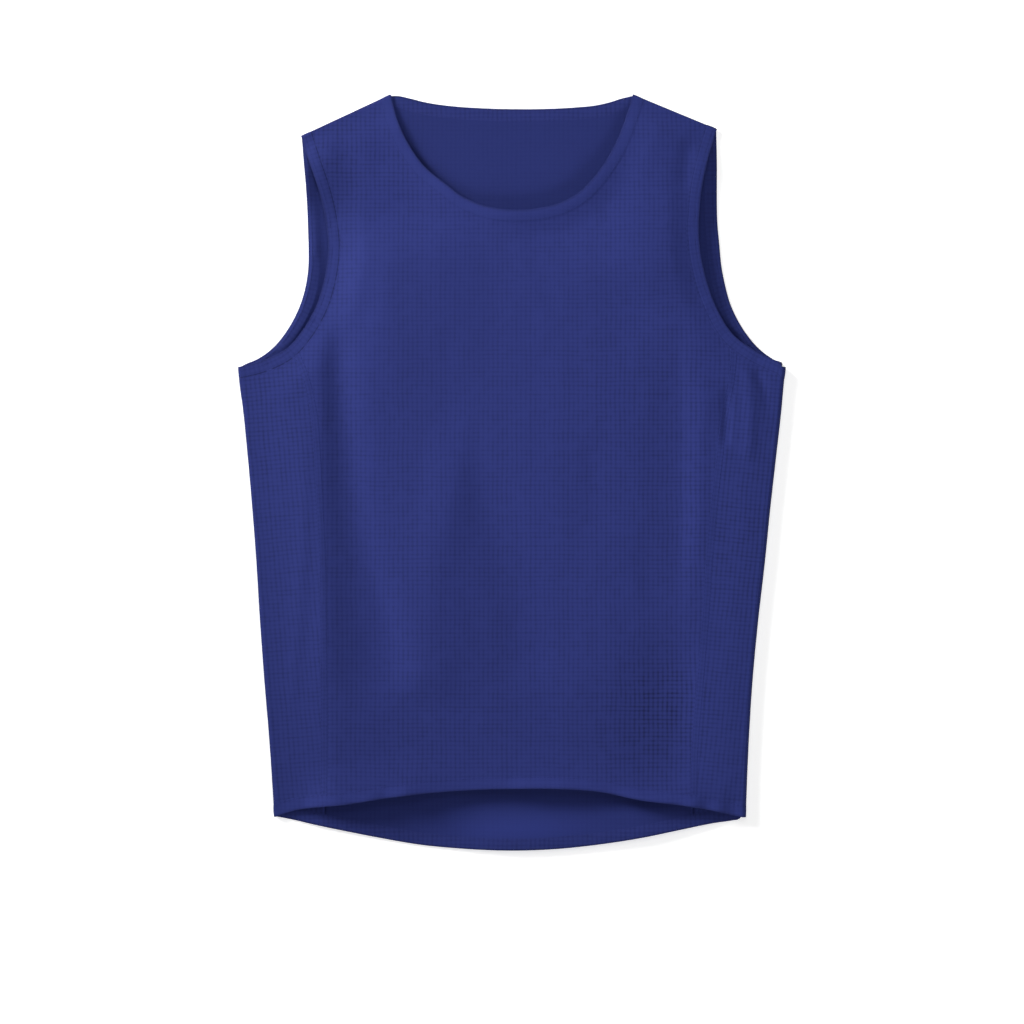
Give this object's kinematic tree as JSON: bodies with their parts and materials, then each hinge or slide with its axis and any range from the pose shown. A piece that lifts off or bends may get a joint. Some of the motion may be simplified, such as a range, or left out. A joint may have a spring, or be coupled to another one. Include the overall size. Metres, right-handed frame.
{
  "type": "sleeveless base layer",
  "caption": "Sleeveless sports base layer in open mesh knit, laid flat with its front up: scoop neck, bound armholes, wrapped side panels and a hem that dips lower at the back.",
  "frame": {"origin": "middle of the garment's box, on the surface that it lies on", "axes": "+X across the chest to the picture's right, +Y from hem to neck, +Z off the surface towards the viewer"},
  "size_m": [0.4377, 0.604, 0.006],
  "materials": {
    "mesh_knit": "matte royal blue mesh knit",
    "back_knit": "matte royal blue mesh knit, seen from its inside",
    "side_knit": "matte royal blue mesh knit",
    "binding_knit": "smooth royal blue elastic knit",
    "hem_knit": "smooth royal blue knit"
  },
  "bodies": {
    "root": {"front_panel": "mesh_knit", "back_panel": "back_knit", "side_panel_left": "side_knit", "side_panel_right": "side_knit", "neck_binding": "binding_knit", "armhole_binding_left": "binding_knit", "armhole_binding_right": "binding_knit", "hem_band": "hem_knit"}
  },
  "joints": []
}
